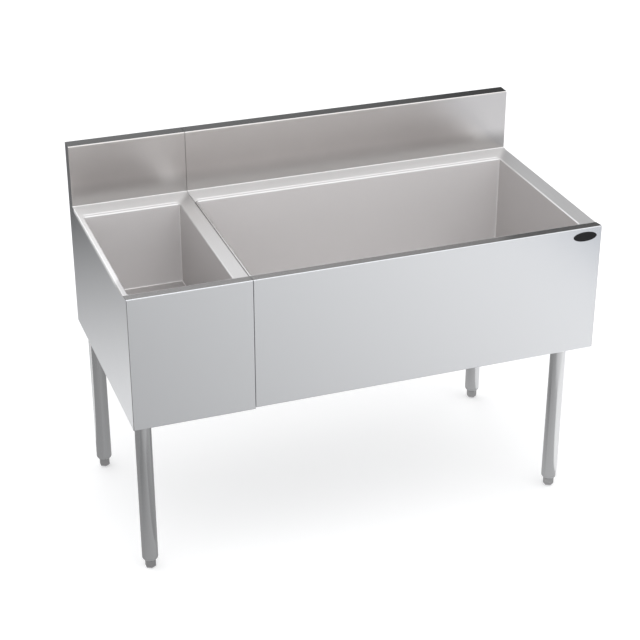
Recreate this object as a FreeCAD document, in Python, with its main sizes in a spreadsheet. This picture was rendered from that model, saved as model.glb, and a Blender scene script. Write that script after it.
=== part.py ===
import FreeCAD, Part
import os
import types
import Sketcher

# Underbar ice bin: a narrow well and a wide ice bin side by side, with a backsplash, on four screw-footed legs.
# Millimetres. +X runs to the right along the front, +Y to the back, +Z up. The feet stand on Z = 0.

# Driving sizes
SIZES = {
    # the whole unit
    "overall_width": 1219.2,
    "overall_depth": 609.6,
    "rim_height": 798.0,
    "well_width": 304.8,
    "seam_gap": 1.0,
    # sheet metal
    "sheet_gauge": 1.2,
    "pan_gauge": 2.0,
    "bend_radius": 3.0,
    "edge_radius": 2.5,
    "lip_radius": 3.0,
    "cove_radius": 2.5,
    "hem_radius": 2.0,
    "hem_width": 10.0,
    # front apron and rim
    "front_rise": 3.6,
    "front_band": 31.0,
    "front_ledge": 3.2,
    "well_apron_drop": 345.5,
    "bin_apron_drop": 341.5,
    "well_outer_rim": 13.2,
    "well_inner_rim": 40.2,
    "bin_inner_rim": 6.4,
    "bin_outer_rim": 46.5,
    "deck_depth": 72.0,
    "flange_drop": 10.0,
    "lip_drop": 12.0,
    # backsplash
    "splash_height": 164.4,
    "splash_depth": 39.6,
    "splash_foot": 12.0,
    "splash_flange": 40.0,
    # tubs
    "well_tub_depth": 222.0,
    "bin_tub_depth": 292.0,
    "tub_corner": 4.0,
    "tub_floor_bend": 3.5,
    "pan_drop": 320.0,
    # drains
    "drain_flange": 76.0,
    "drain_flange_height": 4.0,
    "drain_shank": 38.0,
    "drain_tail": 33.4,
    "drain_tail_length": 28.0,
    "drain_bore": 26.6,
    "drain_hole_play": 0.5,
    "gasket_height": 1.5,
    "gasket_edge": 3.0,
    "drain_nut_width": 52.0,
    "drain_nut_height": 9.0,
    "thread_play": 0.1,
    "strainer_width": 56.0,
    "strainer_gauge": 1.5,
    "strainer_play": 0.3,
    "strainer_seat": 2.0,
    "strainer_hole": 5.0,
    "strainer_outer_ring": 20.0,
    "strainer_inner_ring": 11.0,
    "strainer_knob": 9.0,
    "strainer_knob_height": 10.0,
    # legs
    "left_leg_inset": 39.0,
    "right_leg_inset": 55.0,
    "front_leg_setback": 76.0,
    "rear_leg_setback": 26.1,
    "leg_tube": 41.3,
    "leg_wall": 1.5,
    "socket_plate": 3.0,
    "socket_plate_out": 24.5,
    "socket_plate_in": 50.0,
    "socket_wall": 3.0,
    "socket_length": 44.0,
    "socket_play": 0.15,
    "set_screw": 8.0,
    "set_screw_play": 0.1,
    "set_screw_stand": 2.0,
    "insert_length": 36.0,
    "insert_play": 0.1,
    "shoulder_height": 8.0,
    "shoulder_end": 29.0,
    "foot_width": 25.0,
    "foot_height": 23.0,
    "foot_bevel": 3.5,
    "foot_gap": 2.0,
    "stud": 15.9,
    "stud_length": 36.0,
    "stud_fit": 0.05,
    # joining hardware between the modules
    "bolt": 8.0,
    "bolt_play": 0.5,
    "bolt_head_width": 13.0,
    "bolt_head_height": 5.5,
    "bolt_stand": 2.0,
    "nut_height": 6.5,
    "bolt_below_pan": 10.5,
    "bolt_end_margin": 110.0,
    "gasket_recess": 5.0,
    # blank oval plate on the front
    "badge_length": 64.0,
    "badge_height": 25.0,
    "badge_gauge": 1.0,
    "badge_from_right": 45.3,
    "badge_below_rim": 20.0,
}
STRAINER_OUTER_HOLES = 14
STRAINER_INNER_HOLES = 7
BOLT_COUNT = 3
HEX_FLAT_TO_CORNER = 1.1547005


class Size:
    """A size, held as a number and as the sheet formula that gives the number."""

    def __init__(self, number, formula=None):
        self.number = float(number)
        self.formula = formula or repr(float(number))

    def combine(self, other, sign, number):
        return Size(number, f"({self.formula} {sign} {other.formula})")

    def __add__(self, other):
        other = as_size(other)
        return self.combine(other, "+", self.number + other.number)

    def __sub__(self, other):
        other = as_size(other)
        return self.combine(other, "-", self.number - other.number)

    def __mul__(self, other):
        other = as_size(other)
        return self.combine(other, "*", self.number * other.number)

    def __truediv__(self, other):
        other = as_size(other)
        return self.combine(other, "/", self.number / other.number)

    def __neg__(self):
        return Size(-self.number, f"(0 - {self.formula})")


def as_size(value):
    return value if isinstance(value, Size) else Size(value)


doc = FreeCAD.newDocument("IceBin")
sheet = doc.addObject("Spreadsheet::Sheet", "Sizes")
for row, (name, number) in enumerate(SIZES.items(), start=1):
    sheet.set(f"A{row}", name)
    sheet.set(f"B{row}", str(number))
    sheet.setAlias(f"B{row}", name)
doc.recompute()
s = types.SimpleNamespace(**{name: Size(number, f"Sizes.{name}") for name, number in SIZES.items()})
pieces = []


# Helpers that tie document objects to the sheet

def tie(thing, prop, value):
    """Binds one property of a document object to a size."""
    thing.setExpression(prop, as_size(value).formula)


def place(thing, corner, rotation=None):
    """Puts an object at a corner whose coordinates are sizes."""
    if rotation:
        thing.Placement = FreeCAD.Placement(FreeCAD.Vector(), rotation)
    for axis, value in zip("xyz", corner):
        tie(thing, f"Placement.Base.{axis}", value)


def keep(thing, label):
    """Gives a finished piece its name and adds it to the list that is written out."""
    thing.Label = label
    pieces.append(thing)
    return thing


def block(name, corner, lengths):
    box = doc.addObject("Part::Box", name)
    for prop, value in zip(("Length", "Width", "Height"), lengths):
        tie(box, prop, value)
    place(box, corner)
    return box


ALONG_X = FreeCAD.Rotation(FreeCAD.Vector(0, 1, 0), 90)


def rod(name, centre, radius, length, rotation=None):
    cylinder = doc.addObject("Part::Cylinder", name)
    tie(cylinder, "Radius", radius)
    tie(cylinder, "Height", length)
    place(cylinder, centre, rotation)
    return cylinder


def hexagon(name, centre, across_flats, length, rotation=None):
    prism = doc.addObject("Part::Prism", name)
    prism.Polygon = 6
    tie(prism, "Circumradius", as_size(across_flats) * HEX_FLAT_TO_CORNER / 2)
    tie(prism, "Height", length)
    place(prism, centre, rotation)
    return prism


def fuse(name, shapes):
    joined = doc.addObject("Part::MultiFuse", name)
    joined.Shapes = shapes
    joined.Refine = True
    return joined


def cut(name, base, tools):
    """Takes the tools away from the base, one after another."""
    for step, tool in enumerate(tools):
        last = step == len(tools) - 1
        result = doc.addObject("Part::Cut", name if last else f"{name}_cut{step}")
        result.Base = base
        result.Tool = tool
        base = result
    return base


def group(name, shapes):
    compound = doc.addObject("Part::Compound", name)
    compound.Links = shapes
    return compound


def near(a, b):
    return abs(a - b) < 0.01


def flat_at(edge, level):
    return near(edge.BoundBox.ZMin, level) and near(edge.BoundBox.ZMax, level)


def upright(edge):
    return near(edge.BoundBox.XLength, 0) and near(edge.BoundBox.YLength, 0)


def within(edge, low, high):
    box = edge.BoundBox
    inside_x = box.XMin > low[0] - 0.01 and box.XMax < high[0] + 0.01
    return inside_x and box.YMin > low[1] - 0.01 and box.YMax < high[1] + 0.01


def rounded(name, base, rules):
    """Rounds the edges that each rule picks, with the rule's radius."""
    doc.recompute()
    chosen = []
    for index, edge in enumerate(base.Shape.Edges, start=1):
        for test, radius in rules:
            if test(edge):
                chosen.append((index, radius.number, radius.number))
                break
    fillet = doc.addObject("Part::Fillet", name)
    fillet.Base = base
    fillet.Edges = chosen
    doc.recompute()
    return fillet


def tub_block(name, corner, lengths, corner_radius, floor_radius=None):
    """A block with rounded upright edges and, where asked, a rounded floor edge."""
    plain = block(f"{name}_plain", corner, lengths)
    solid = rounded(f"{name}_upright", plain, [(upright, corner_radius)])
    if floor_radius is None:
        return solid
    floor_level = corner[2].number
    return rounded(name, solid, [(lambda edge: flat_at(edge, floor_level), floor_radius)])


def origin_plane(body, role):
    return next(plane for plane in body.Origin.OriginFeatures if plane.Role == role)


def new_sketch(body, name, role):
    sketch = body.newObject("Sketcher::SketchObject", name)
    sketch.AttachmentSupport = [(origin_plane(body, role), "")]
    sketch.MapMode = "FlatFace"
    return sketch


def pin_point(sketch, geometry, end, u, v):
    """Fixes one sketch point by its two distances from the sketch's origin."""
    for kind, axis, value in (("DistanceX", -2, as_size(u)), ("DistanceY", -1, as_size(v))):
        if value.number == 0:
            sketch.addConstraint(Sketcher.Constraint("PointOnObject", geometry, end, axis))
            continue
        index = sketch.addConstraint(Sketcher.Constraint(kind, -1, 1, geometry, end, value.number))
        sketch.setExpression(f"Constraints[{index}]", value.formula)


def polygon(body, name, role, points):
    """A closed outline of straight lines through points whose coordinates are sizes."""
    sketch = new_sketch(body, name, role)
    corners = [FreeCAD.Vector(as_size(u).number, as_size(v).number, 0) for u, v in points]
    count = len(points)
    for index, corner in enumerate(corners):
        sketch.addGeometry(Part.LineSegment(corner, corners[(index + 1) % count]))
    for index in range(count):
        sketch.addConstraint(Sketcher.Constraint("Coincident", index, 2, (index + 1) % count, 1))
    for index, (u, v) in enumerate(points):
        pin_point(sketch, index, 1, u, v)
    return sketch


def circle(body, name, radius, u=0, v=0):
    """A circle on the body's XY plane."""
    sketch = new_sketch(body, name, "XY_Plane")
    centre = FreeCAD.Vector(as_size(u).number, as_size(v).number, 0)
    sketch.addGeometry(Part.Circle(centre, FreeCAD.Vector(0, 0, 1), radius.number))
    index = sketch.addConstraint(Sketcher.Constraint("Radius", 0, radius.number))
    sketch.setExpression(f"Constraints[{index}]", radius.formula)
    pin_point(sketch, 0, 3, u, v)
    return sketch


def pad(body, name, sketch, length, backwards=False):
    feature = body.newObject("PartDesign::Pad", name)
    feature.Profile = sketch
    feature.Reversed = backwards
    tie(feature, "Length", length)
    return feature


def round_bends(body, name, points, bends):
    """Rounds the edges that stand on chosen corners of a YZ outline."""
    for step, (radius, corners) in enumerate(bends):
        doc.recompute()
        base = body.Tip
        spots = [(as_size(points[i][0]).number, as_size(points[i][1]).number) for i in corners]
        names = []
        for index, edge in enumerate(body.Shape.Edges, start=1):
            centre = edge.BoundBox.Center - body.Placement.Base
            thin = near(edge.BoundBox.YLength, 0) and near(edge.BoundBox.ZLength, 0)
            if thin and any(near(centre.y, u) and near(centre.z, v) for u, v in spots):
                names.append(f"Edge{index}")
        fillet = body.newObject("PartDesign::Fillet", f"{name}_bend{step}")
        fillet.Base = (base, names)
        tie(fillet, "Radius", radius)


def bent_sheet(label, corner, points, length, bends):
    """A bent sheet: its outline in the YZ plane, carried along X, with its bends rounded."""
    body = doc.addObject("PartDesign::Body", label)
    place(body, corner)
    pad(body, f"{label}_pad", polygon(body, f"{label}_outline", "YZ_Plane", points), length)
    round_bends(body, label, points, bends)
    return keep(body, label)


def turned(label, centre, points):
    """A turned piece: its half section in the XZ plane, spun round the upright axis."""
    body = doc.addObject("PartDesign::Body", label)
    place(body, centre)
    sketch = polygon(body, f"{label}_section", "XZ_Plane", points)
    spin = body.newObject("PartDesign::Revolution", f"{label}_spin")
    spin.Profile = sketch
    spin.ReferenceAxis = (sketch, ["V_Axis"])
    spin.Angle = 360
    return keep(body, label)


# Places that several pieces share

gauge = s.sheet_gauge
left_end = -s.overall_width / 2
right_end = s.overall_width / 2
front = (s.badge_gauge - s.overall_depth) / 2
back = front + s.overall_depth
deck = s.rim_height
splash_face = s.overall_depth - s.splash_depth
foot_edge = splash_face - s.splash_foot
splash_top = deck + s.splash_height
pan_level = deck - s.pan_drop
seam = left_end + s.well_width
opening_front = s.front_band + s.front_ledge
opening_back = splash_face - s.deck_depth
inner_bend = s.bend_radius - gauge
inner_edge = s.edge_radius - gauge
inner_lip = s.lip_radius - gauge
inner_hem = s.hem_radius - gauge


class Module:
    """The sizes of one of the two modules."""

    def __init__(self, name, left, right, rims, apron_drop, tub_depth, outer_on_left):
        self.name = name
        self.left = left
        self.right = right
        self.width = right - left
        self.open_left = left + rims[0]
        self.open_right = right - rims[1]
        self.bottom = deck - apron_drop
        self.floor = deck - tub_depth
        self.outer_on_left = outer_on_left
        self.drain_x = (self.open_left + self.open_right) / 2
        self.drain_y = front + (opening_front + opening_back) / 2


well = Module("well", left_end, seam - s.seam_gap / 2, (s.well_outer_rim, s.well_inner_rim),
              s.well_apron_drop, s.well_tub_depth, True)
ice = Module("bin", seam + s.seam_gap / 2, right_end, (s.bin_inner_rim, s.bin_outer_rim),
             s.bin_apron_drop, s.bin_tub_depth, False)


# Front apron: a hem below, the front face, and a front rim that slopes down to the opening

def front_apron(module):
    bottom = module.bottom
    inner_top = deck + s.front_rise - gauge - s.front_rise * gauge / s.front_band
    points = [
        (s.hem_width, bottom),
        (0, bottom),
        (0, deck + s.front_rise),
        (s.front_band, deck),
        (s.front_band, deck - gauge),
        (gauge, inner_top),
        (gauge, bottom + gauge),
        (s.hem_width, bottom + gauge),
    ]
    bends = [(inner_bend, [5]), (s.bend_radius, [2]), (inner_hem, [6]), (s.hem_radius, [1])]
    bent_sheet(f"{module.name}_apron", (module.left, front, as_size(0)), points, module.width, bends)


# Rim: the top sheet with its opening, lips turned down into it and flanges turned down at both ends

def rim(module):
    name = f"{module.name}_rim"
    near_edge = front + s.front_band
    run = foot_edge - s.front_band
    plate = block(f"{name}_plate", (module.left, near_edge, deck - gauge), (module.width, run, gauge))
    flanges = [block(f"{name}_{side}", (x, near_edge, deck - s.flange_drop), (gauge, run, s.flange_drop))
               for side, x in (("left", module.left), ("right", module.right - gauge))]
    open_width = module.open_right - module.open_left
    open_depth = opening_back - opening_front
    open_y = front + opening_front
    lip = tub_block(f"{name}_lip", (module.open_left - gauge, open_y - gauge, deck - s.lip_drop),
                    (open_width + gauge * 2, open_depth + gauge * 2, s.lip_drop), s.tub_corner + gauge)
    opening = tub_block(f"{name}_opening", (module.open_left, open_y, deck - s.lip_drop * 2),
                        (open_width, open_depth, s.lip_drop * 3), s.tub_corner)
    sharp = cut(f"{name}_sharp", fuse(f"{name}_sheet", [plate, *flanges, lip]), [opening])
    lip_low = (module.open_left.number - gauge.number, open_y.number - gauge.number)
    lip_high = (module.open_right.number + gauge.number, front.number + opening_back.number + gauge.number)
    under = deck.number - gauge.number
    ends = (module.left.number, module.right.number)

    def inner_lip_edge(edge):
        return flat_at(edge, under) and within(edge, lip_low, lip_high)

    def inner_flange_edge(edge):
        beside = any(near(abs(edge.BoundBox.Center.x - end), gauge.number) for end in ends)
        return flat_at(edge, under) and near(edge.BoundBox.XLength, 0) and beside

    def outer_lip_edge(edge):
        return flat_at(edge, deck.number) and within(edge, lip_low, lip_high)

    def outer_flange_edge(edge):
        at_end = any(near(edge.BoundBox.Center.x, end) for end in ends)
        return flat_at(edge, deck.number) and near(edge.BoundBox.XLength, 0) and at_end

    eased = rounded(f"{name}_inside", sharp, [(inner_lip_edge, inner_lip), (inner_flange_edge, inner_edge)])
    keep(rounded(name, eased, [(outer_lip_edge, s.lip_radius), (outer_flange_edge, s.edge_radius)]), name)


# Liner: the welded tub under the rim's lips, with a hole for the drain

def liner(module):
    name = f"{module.name}_liner"
    top = deck - s.lip_drop
    open_width = module.open_right - module.open_left
    open_depth = opening_back - opening_front
    open_y = front + opening_front
    outside = tub_block(f"{name}_outside", (module.open_left - gauge, open_y - gauge, module.floor - gauge),
                        (open_width + gauge * 2, open_depth + gauge * 2, top - module.floor + gauge),
                        s.tub_corner + gauge, s.tub_floor_bend + gauge)
    inside = tub_block(f"{name}_inside", (module.open_left, open_y, module.floor),
                       (open_width, open_depth, top - module.floor + s.lip_drop), s.tub_corner, s.tub_floor_bend)
    hole = rod(f"{name}_hole", (module.drain_x, module.drain_y, module.floor - gauge * 2),
               s.drain_shank / 2 + s.drain_hole_play, gauge * 3)
    keep(cut(name, outside, [inside, hole]), name)


# Backsplash: a foot on the deck, a cove, the face, the top and a flange down the back

def backsplash(module):
    low = splash_top - s.splash_flange
    depth = s.overall_depth
    points = [
        (foot_edge, deck),
        (splash_face, deck),
        (splash_face, splash_top),
        (depth, splash_top),
        (depth, low),
        (depth - gauge, low),
        (depth - gauge, splash_top - gauge),
        (splash_face + gauge, splash_top - gauge),
        (splash_face + gauge, deck - gauge),
        (foot_edge, deck - gauge),
    ]
    bends = [(inner_bend, [6, 7]), (s.bend_radius, [2, 3]), (s.cove_radius, [1]), (s.cove_radius + gauge, [8])]
    bent_sheet(f"{module.name}_backsplash", (module.left, front, as_size(0)), points, module.width, bends)


def splash_cap(module):
    """The plate that closes the backsplash's outer end, inside the bent sheet."""
    x = module.left if module.outer_on_left else module.right - gauge
    points = [
        (splash_face + gauge, deck - gauge),
        (s.overall_depth - gauge, deck - gauge),
        (s.overall_depth - gauge, splash_top - gauge),
        (splash_face + gauge, splash_top - gauge),
    ]
    bent_sheet(f"{module.name}_splash_cap", (x, front, as_size(0)), points, gauge, [(s.bend_radius, [2, 3])])


# Shell: side panels with a hem below, the back panel and the bottom pan

def side_panel(label, face_x, inward, module, bolt_holes=()):
    bottom = module.bottom
    depth = s.overall_depth
    ease = s.bend_radius
    band_under = deck - gauge + s.front_rise * (s.front_band - gauge - ease) / s.front_band
    plate = [
        (gauge, bottom + gauge + inner_hem),
        (gauge + inner_hem, bottom + gauge),
        (s.hem_width, bottom + gauge),
        (s.hem_width, bottom),
        (depth - gauge, bottom),
        (depth - gauge, deck - gauge),
        (foot_edge, deck - gauge),
        (foot_edge, deck - s.flange_drop),
        (s.front_band, deck - s.flange_drop),
        (s.front_band, deck - gauge),
        (gauge + ease, band_under),
        (gauge, band_under - ease),
    ]
    hem = [
        (s.hem_width, bottom),
        (depth - gauge, bottom),
        (depth - gauge, bottom + gauge),
        (s.hem_width, bottom + gauge),
    ]
    body = doc.addObject("PartDesign::Body", f"{label}_sheet" if bolt_holes else label)
    place(body, (face_x, front, as_size(0)))
    backwards = inward < 0
    pad(body, f"{label}_plate", polygon(body, f"{label}_outline", "YZ_Plane", plate), gauge, backwards)
    pad(body, f"{label}_hem", polygon(body, f"{label}_hem_outline", "YZ_Plane", hem), s.hem_width, backwards)
    keep(cut(label, body, list(bolt_holes)) if bolt_holes else body, label)


def back_panel(module):
    name = f"{module.name}_back"
    high = splash_top - s.splash_flange - module.bottom
    keep(block(name, (module.left, back - gauge, module.bottom), (module.width, gauge, high)), name)


def drain_passage(name, module, low, high):
    radius = s.drain_shank / 2 + s.drain_hole_play
    return rod(name, (module.drain_x, module.drain_y, low), radius, high - low)


def bottom_pan(module):
    name = f"{module.name}_pan"
    sheet_block = block(f"{name}_sheet", (module.left + gauge, front + gauge, pan_level),
                        (module.width - gauge * 2, s.overall_depth - gauge * 2, s.pan_gauge))
    hole = drain_passage(f"{name}_hole", module, pan_level - s.pan_gauge, pan_level + s.pan_gauge * 2)
    keep(cut(name, sheet_block, [hole]), name)


# Foam between the tub and the shell

def foam(module):
    name = f"{module.name}_foam"
    low = pan_level + s.pan_gauge
    top = deck - s.lip_drop
    whole = block(f"{name}_whole", (module.left + gauge, front + gauge, low),
                  (module.width - gauge * 2, s.overall_depth - gauge * 2, top - low))
    pocket = block(f"{name}_pocket",
                   (module.open_left - gauge, front + opening_front - gauge, module.floor - gauge),
                   (module.open_right - module.open_left + gauge * 2,
                    opening_back - opening_front + gauge * 2, s.pan_drop))
    keep(cut(name, whole, [pocket, drain_passage(f"{name}_hole", module, low - gauge, module.floor)]), name)


# Drain: a flange on the tub's floor over a gasket, a shank through the pan, a locknut and a tail below

def drain(module):
    centre = (module.drain_x, module.drain_y, as_size(0))
    seat = module.floor + s.gasket_height
    top = seat + s.drain_flange_height
    nut_low = pan_level - s.drain_nut_height
    tail_end = nut_low - s.drain_tail_length
    bore = s.drain_bore / 2
    tail = s.drain_tail / 2
    shank = s.drain_shank / 2
    flange = s.drain_flange / 2
    rest = s.strainer_width / 2 + s.strainer_play
    turned(f"{module.name}_drain", centre, [
        (bore, tail_end),
        (tail, tail_end),
        (tail, nut_low),
        (shank, nut_low),
        (shank, seat),
        (flange, seat),
        (flange, top - s.strainer_seat / 2),
        (flange - s.strainer_seat, top),
        (rest, top),
        (rest, top - s.strainer_seat),
        (bore, top - s.strainer_seat),
    ])
    turned(f"{module.name}_drain_gasket", centre, [
        (shank + s.drain_hole_play, module.floor),
        (flange - s.gasket_edge, module.floor),
        (flange - s.gasket_edge, seat),
        (shank + s.drain_hole_play, seat),
    ])
    name = f"{module.name}_drain_nut"
    nut = hexagon(f"{name}_hex", (module.drain_x, module.drain_y, nut_low), s.drain_nut_width, s.drain_nut_height)
    thread = rod(f"{name}_thread", (module.drain_x, module.drain_y, nut_low - s.drain_nut_height),
                 shank + s.thread_play, s.drain_nut_height * 3)
    keep(cut(name, nut, [thread]), name)
    strainer(module, top - s.strainer_seat)


def ring_of_holes(body, name, ring, count):
    """A ring of holes through the strainer's plate."""
    hole = circle(body, f"{name}_circle", s.strainer_hole / 2, ring)
    pocket = body.newObject("PartDesign::Pocket", name)
    pocket.Profile = hole
    pocket.Reversed = True
    tie(pocket, "Length", s.strainer_gauge)
    doc.recompute()
    pattern = body.newObject("PartDesign::PolarPattern", f"{name}_ring")
    pattern.Originals = [pocket]
    pattern.Axis = (hole, ["N_Axis"])
    pattern.Angle = 360
    pattern.Occurrences = count
    body.Tip = pattern
    doc.recompute()


def strainer(module, level):
    label = f"{module.name}_strainer"
    body = doc.addObject("PartDesign::Body", label)
    place(body, (module.drain_x, module.drain_y, level))
    pad(body, f"{label}_plate", circle(body, f"{label}_edge", s.strainer_width / 2), s.strainer_gauge)
    knob_height = s.strainer_gauge + s.strainer_knob_height
    pad(body, f"{label}_knob", circle(body, f"{label}_knob_edge", s.strainer_knob / 2), knob_height)
    doc.recompute()
    ring_of_holes(body, f"{label}_outer", s.strainer_outer_ring, STRAINER_OUTER_HOLES)
    ring_of_holes(body, f"{label}_inner", s.strainer_inner_ring, STRAINER_INNER_HOLES)
    keep(body, label)


# Legs: a socket under the pan, a tube with a set screw, an insert with a shoulder, and a screw foot

LEGS = [(f"{depth}_{side}", side, depth) for depth in ("front", "rear") for side in ("left", "right")]
leg_x = {"left": left_end + s.left_leg_inset, "right": right_end - s.right_leg_inset}
leg_y = {"front": front + s.front_leg_setback, "rear": back - s.rear_leg_setback}
inward_x = {"left": 1, "right": -1}
leg_radius = s.leg_tube / 2
collar_bore = leg_radius + s.socket_play
collar_radius = collar_bore + s.socket_wall
plate_low = pan_level - s.socket_plate
tube_end = s.foot_height + s.foot_gap + s.shoulder_height
screw_level = plate_low - s.socket_length / 2


def screw_rod(name, place_name, side, depth, radius, start, stop):
    """A rod along X on the inner side of a leg, from one distance off the leg's axis to another."""
    inner = start if side == "left" else -stop
    return rod(f"{name}_{place_name}", (leg_x[side] + inner, leg_y[depth], screw_level), radius, stop - start, ALONG_X)


def leg(place_name, side, depth):
    x, y = leg_x[side], leg_y[depth]
    plate_x = x - (s.socket_plate_out if side == "left" else s.socket_plate_in)
    plate_y = y - (s.socket_plate_out if depth == "front" else s.socket_plate_in)
    plate_side = s.socket_plate_out + s.socket_plate_in
    name = f"socket_{place_name}"
    plate = block(f"{name}_plate", (plate_x, plate_y, plate_low), (plate_side, plate_side, s.socket_plate))
    collar = rod(f"{name}_collar", (x, y, plate_low - s.socket_length), collar_radius, s.socket_length)
    bore = rod(f"{name}_bore", (x, y, plate_low - s.socket_length * 2), collar_bore, s.socket_length * 2)
    hole = screw_rod(f"{name}_hole", place_name, side, depth, s.set_screw / 2 + s.set_screw_play,
                     leg_radius, collar_radius + s.socket_wall)
    keep(cut(name, fuse(f"{name}_sheet", [plate, collar]), [bore, hole]), name)

    name = f"leg_{place_name}"
    outside = rod(f"{name}_outside", (x, y, tube_end), leg_radius, plate_low - tube_end)
    inside = rod(f"{name}_inside", (x, y, tube_end - s.leg_wall), leg_radius - s.leg_wall,
                 plate_low - tube_end + s.leg_wall * 2)
    keep(cut(name, outside, [inside]), name)

    bore_radius = s.stud / 2 + s.stud_fit
    plug_radius = leg_radius - s.leg_wall - s.insert_play
    turned(f"insert_{place_name}", (x, y, as_size(0)), [
        (bore_radius, tube_end - s.shoulder_height),
        (s.shoulder_end / 2, tube_end - s.shoulder_height),
        (leg_radius, tube_end - s.leg_wall),
        (leg_radius, tube_end),
        (plug_radius, tube_end),
        (plug_radius, tube_end + s.insert_length),
        (bore_radius, tube_end + s.insert_length),
    ])
    foot(place_name, x, y)


def foot(place_name, x, y):
    name = f"foot_{place_name}"
    plain = hexagon(f"{name}_hex", (x, y, as_size(0)), s.foot_width, s.foot_height,
                    FreeCAD.Rotation(FreeCAD.Vector(0, 0, 1), 30))
    doc.recompute()
    bevel = doc.addObject("Part::Chamfer", f"{name}_bevel")
    bevel.Base = plain
    size_of_bevel = s.foot_bevel.number
    bevel.Edges = [(index, size_of_bevel, size_of_bevel)
                   for index, edge in enumerate(plain.Shape.Edges, start=1) if flat_at(edge, 0)]
    stud = rod(f"{name}_stud", (x, y, s.foot_height), s.stud / 2, s.stud_length)
    keep(fuse(name, [bevel, stud]), name)


def set_screws():
    stop = collar_radius + s.set_screw_stand
    screws = [screw_rod("set_screw", place_name, side, depth, s.set_screw / 2, leg_radius, stop)
              for place_name, side, depth in LEGS]
    keep(group("socket_set_screws", screws), "socket_set_screws")


# What joins the two modules: bolts and nuts through their inner sides below the pan, and a seam gasket

bolt_level = pan_level - s.bolt_below_pan
bolt_run = s.overall_depth - s.bolt_end_margin * 2
bolt_spots = [front + s.bolt_end_margin + bolt_run * i / (BOLT_COUNT - 1) for i in range(BOLT_COUNT)]
inner_face_left = well.right - gauge
inner_face_right = ice.left + gauge


def bolt_holes(name, face_x):
    radius = s.bolt / 2 + s.bolt_play
    return [rod(f"{name}_hole{i}", (face_x - gauge * 2, y, bolt_level), radius, gauge * 4, ALONG_X)
            for i, y in enumerate(bolt_spots)]


def joining_hardware():
    bolts = []
    nuts = []
    head_x = inner_face_left - s.bolt_head_height
    grip = inner_face_right - inner_face_left + s.nut_height + s.bolt_stand
    for i, y in enumerate(bolt_spots):
        head = hexagon(f"bolt{i}_head", (head_x, y, bolt_level), s.bolt_head_width, s.bolt_head_height, ALONG_X)
        shank = rod(f"bolt{i}_shank", (inner_face_left, y, bolt_level), s.bolt / 2, grip, ALONG_X)
        bolts.append(fuse(f"bolt{i}", [head, shank]))
        nut = hexagon(f"nut{i}_hex", (inner_face_right, y, bolt_level), s.bolt_head_width, s.nut_height, ALONG_X)
        thread = rod(f"nut{i}_thread", (inner_face_right - s.nut_height, y, bolt_level),
                     s.bolt / 2 + s.thread_play, s.nut_height * 3, ALONG_X)
        nuts.append(cut(f"nut{i}", nut, [thread]))
    keep(group("joining_bolts", bolts), "joining_bolts")
    keep(group("joining_nuts", nuts), "joining_nuts")
    recess = s.gasket_recess
    keep(block("seam_gasket", (well.right, front + recess, pan_level),
               (s.seam_gap, s.overall_depth - recess * 2, s.pan_drop - recess)), "seam_gasket")


# Blank oval plate at the upper right of the front

def badge():
    oval = doc.addObject("Part::Ellipse", "badge_oval")
    tie(oval, "MajorRadius", s.badge_length / 2)
    tie(oval, "MinorRadius", s.badge_height / 2)
    place(oval, (right_end - s.badge_from_right, front, deck - s.badge_below_rim),
          FreeCAD.Rotation(FreeCAD.Vector(1, 0, 0), 90))
    plate = doc.addObject("Part::Extrusion", "badge_plate")
    plate.Base = oval
    plate.DirMode = "Custom"
    plate.Dir = FreeCAD.Vector(0, -1, 0)
    tie(plate, "LengthFwd", s.badge_gauge)
    plate.Solid = True
    keep(plate, "badge_plate")


# Build everything

for module in (well, ice):
    front_apron(module)
    rim(module)
    liner(module)
    backsplash(module)
    splash_cap(module)
    back_panel(module)
    bottom_pan(module)
    foam(module)
    drain(module)
side_panel("well_side", left_end, 1, well)
side_panel("well_inner_side", well.right, -1, well, bolt_holes("well_inner_side", well.right))
side_panel("bin_inner_side", ice.left, 1, ice, bolt_holes("bin_inner_side", ice.left))
side_panel("bin_side", right_end, -1, ice)
joining_hardware()
badge()
for place_name, side, depth in LEGS:
    leg(place_name, side, depth)
set_screws()
doc.recompute()

# Check every object, then write one file per piece

failed = [thing.Name for thing in doc.Objects if {"Invalid", "Error"} & set(thing.State)]
if failed:
    raise RuntimeError(f"objects failed: {failed}")
for piece in pieces:
    if piece.Shape.isNull() or not piece.Shape.isValid() or not piece.Shape.Solids:
        raise RuntimeError(f"bad shape: {piece.Label}")
os.makedirs("parts", exist_ok=True)
for piece in pieces:
    piece.Shape.exportStep(f"parts/{piece.Label}.step")
    print(f"{piece.Label}: {len(piece.Shape.Solids)} solid, {piece.Shape.Volume / 1000:.1f} cm3")
print(f"{len(pieces)} pieces")
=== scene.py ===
# %% [markdown]
# # An underbar ice bin in stainless steel
# The object has two modules side by side: a narrow well on the left and a wide ice bin on the right.
# A backsplash runs along the rear, and four round legs end in hexagon screw feet.
# The solids come from CAD and stay where they are. This script dresses them: it models the bent sheets,
# the tubs, the legs and the feet again with smooth bends, and gives every kind of piece its finish.

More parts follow.
